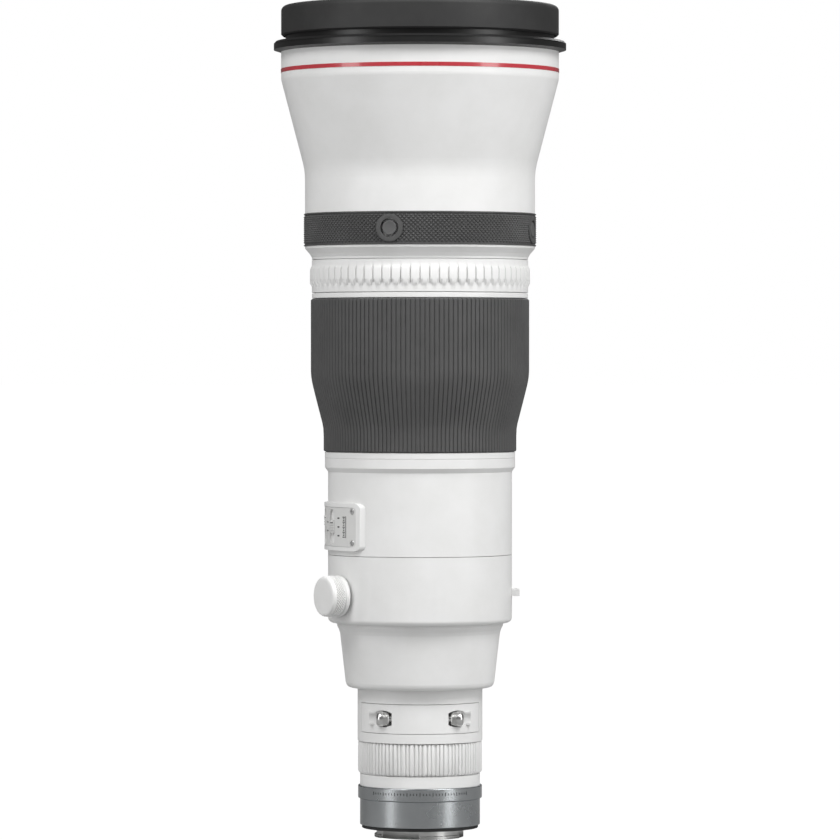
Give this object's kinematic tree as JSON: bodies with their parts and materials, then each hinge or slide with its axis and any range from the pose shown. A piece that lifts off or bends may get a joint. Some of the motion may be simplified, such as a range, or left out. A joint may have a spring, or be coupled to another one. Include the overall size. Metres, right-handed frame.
{
  "type": "telephoto camera lens",
  "caption": "Large white telephoto camera lens with a flared front, ribbed focus grip, turning tripod collar with foot, drop-in filter drawer and bayonet mount.",
  "frame": {"origin": "centre of the bayonet's flange plane, on the optical axis", "axes": "+Z along the optical axis towards the front element, +Y towards the tripod foot, -X towards the switch panel"},
  "size_m": [0.168, 0.18, 0.4774],
  "materials": {
    "white_paint": "white enamel, fine orange peel",
    "black_rubber": "matte",
    "grip_rubber": "matte, ribbed",
    "black_paint": "gloss black enamel",
    "red_paint": "gloss",
    "dark_metal": "matt black anodised",
    "button_plastic": "fine texture",
    "switch_plastic": "light grey, fine texture",
    "silver": "satin",
    "chrome": "polished",
    "screw_steel": "bright",
    "gold": "bright",
    "glass": "clear, anti-reflection coating",
    "motor_metal": "satin",
    "board": "green board"
  },
  "bodies": {
    "barrel": {"front_barrel": "white_paint", "middle_barrel": "white_paint", "ring_spacer": "white_paint", "grip_end_ring": "white_paint", "main_barrel": "white_paint", "switch_panel": "white_paint", "rear_cone": "white_paint", "rear_barrel": "white_paint", "control_ring_retainer": "white_paint", "front_rim": "black_rubber", "dust_gasket": "black_rubber", "button_band": "grip_rubber", "hood_ring": "black_paint", "red_ring": "red_paint", "front_retaining_ring": "dark_metal", "light_baffle": "dark_metal", "aperture_unit": "dark_metal", "aperture_blades": "dark_metal", "rear_cell": "dark_metal", "stabilizer_base": "dark_metal", "contact_block": "button_plastic", "mount_band": "silver", "mount_barrel": "silver", "bayonet": "chrome", "panel_screws": "screw_steel", "mount_screws": "screw_steel", "contact_pins": "gold", "front_element": "glass", "second_element": "glass", "rear_lens": "glass", "motor_stator": "motor_metal", "main_board": "board"},
    "playback_ring": {"playback_ring": "white_paint"},
    "focus_ring": {"focus_ring": "dark_metal", "focus_grip": "grip_rubber"},
    "control_ring": {"control_ring": "white_paint"},
    "tripod_collar": {"tripod_collar": "white_paint", "strap_lugs": "white_paint", "tripod_foot": "white_paint", "foot_screws": "screw_steel"},
    "collar_lock_knob": {"collar_lock_knob": "white_paint"},
    "filter_drawer": {"filter_drawer": "white_paint", "filter_glass": "glass"},
    "release_button_left": {"release_button_left": "chrome"},
    "release_button_right": {"release_button_right": "chrome"},
    "cam_ring": {"cam_ring": "motor_metal"},
    "focus_cell": {"focus_cell": "dark_metal", "focus_lens": "glass"},
    "stabilizer_frame": {"stabilizer_frame": "dark_metal"},
    "stabilizer_cell": {"stabilizer_cell": "dark_metal", "stabilizer_lens": "glass"},
    "preset_button": {"preset_button": "button_plastic"},
    "af_stop_button_1": {"af_stop_button_1": "button_plastic"},
    "af_stop_button_2": {"af_stop_button_2": "button_plastic"},
    "af_stop_button_3": {"af_stop_button_3": "button_plastic"},
    "af_stop_button_4": {"af_stop_button_4": "button_plastic"},
    "stabilizer_mode_switch": {"stabilizer_mode_switch": "switch_plastic"},
    "stabilizer_switch": {"stabilizer_switch": "switch_plastic"},
    "focus_mode_switch": {"focus_mode_switch": "switch_plastic"},
    "focus_limit_switch": {"focus_limit_switch": "switch_plastic"}
  },
  "joints": [
    {"name": "playback_turn", "type": "hinge", "parent": "barrel", "child": "playback_ring", "pos_m": [0, 0, 0.3167], "axis": [0, 0, 1], "range_deg": [-8, 8], "stiffness_Nm_per_rad": 0.6},
    {"name": "focus_turn", "type": "hinge", "parent": "barrel", "child": "focus_ring", "pos_m": [0, 0, 0.26], "axis": [0, 0, 1], "continuous": true},
    {"name": "control_turn", "type": "hinge", "parent": "barrel", "child": "control_ring", "pos_m": [0, 0, 0.041], "axis": [0, 0, 1], "continuous": true},
    {"name": "collar_turn", "type": "hinge", "parent": "barrel", "child": "tripod_collar", "pos_m": [0, 0, 0.137], "axis": [0, 0, 1], "continuous": true},
    {"name": "knob_turn", "type": "hinge", "parent": "tripod_collar", "child": "collar_lock_knob", "pos_m": [-0.05088, -0.03179, 0.1343], "axis": [-0.848, -0.5299, 0], "range_deg": [0, 360]},
    {"name": "drawer_pull", "type": "slide", "parent": "barrel", "child": "filter_drawer", "axis": [0, -1, 0], "range_m": [0, 0.062]},
    {"name": "release_left_press", "type": "slide", "parent": "filter_drawer", "child": "release_button_left", "axis": [1, 0, 0], "range_m": [0, 0.0012], "stiffness_N_per_m": 600},
    {"name": "release_right_press", "type": "slide", "parent": "filter_drawer", "child": "release_button_right", "axis": [-1, 0, 0], "range_m": [0, 0.0012], "stiffness_N_per_m": 600},
    {"name": "cam_turn", "type": "hinge", "parent": "barrel", "child": "cam_ring", "pos_m": [0, 0, 0.279], "axis": [0, 0, 1], "range_deg": [-60, 60]},
    {"name": "focus_slide", "type": "slide", "parent": "barrel", "child": "focus_cell", "axis": [0, 0, 1], "range_m": [-0.0075, 0.0075]},
    {"name": "stabilizer_sideways", "type": "slide", "parent": "barrel", "child": "stabilizer_frame", "axis": [1, 0, 0], "range_m": [-0.001, 0.001], "stiffness_N_per_m": 300},
    {"name": "stabilizer_across", "type": "slide", "parent": "stabilizer_frame", "child": "stabilizer_cell", "axis": [0, 1, 0], "range_m": [-0.001, 0.001], "stiffness_N_per_m": 300},
    {"name": "preset_press", "type": "slide", "parent": "barrel", "child": "preset_button", "axis": [0.7986, -0.6018, 0], "range_m": [0, 0.0006], "stiffness_N_per_m": 500},
    {"name": "af_stop_press_1", "type": "slide", "parent": "barrel", "child": "af_stop_button_1", "axis": [0.2588, 0.9659, 0], "range_m": [0, 0.0006], "stiffness_N_per_m": 800},
    {"name": "af_stop_press_2", "type": "slide", "parent": "barrel", "child": "af_stop_button_2", "axis": [-0.9659, 0.2588, 0], "range_m": [0, 0.0006], "stiffness_N_per_m": 800},
    {"name": "af_stop_press_3", "type": "slide", "parent": "barrel", "child": "af_stop_button_3", "axis": [-0.2588, -0.9659, 0], "range_m": [0, 0.0006], "stiffness_N_per_m": 800},
    {"name": "af_stop_press_4", "type": "slide", "parent": "barrel", "child": "af_stop_button_4", "axis": [0.9659, -0.2588, 0], "range_m": [0, 0.0006], "stiffness_N_per_m": 800},
    {"name": "stabilizer_mode_slide", "type": "slide", "parent": "barrel", "child": "stabilizer_mode_switch", "axis": [0, 0, 1], "range_m": [-0.005, 0.005]},
    {"name": "stabilizer_slide", "type": "slide", "parent": "barrel", "child": "stabilizer_switch", "axis": [0, 0, 1], "range_m": [-0.005, 0]},
    {"name": "focus_mode_slide", "type": "slide", "parent": "barrel", "child": "focus_mode_switch", "axis": [0, 0, 1], "range_m": [-0.005, 0]},
    {"name": "focus_limit_slide", "type": "slide", "parent": "barrel", "child": "focus_limit_switch", "axis": [0, 0, 1], "range_m": [-0.005, 0.005]}
  ],
  "couplings": [
    {"joint": "focus_slide", "follows": "cam_turn", "m_per_rad": 0.0066}
  ]
}
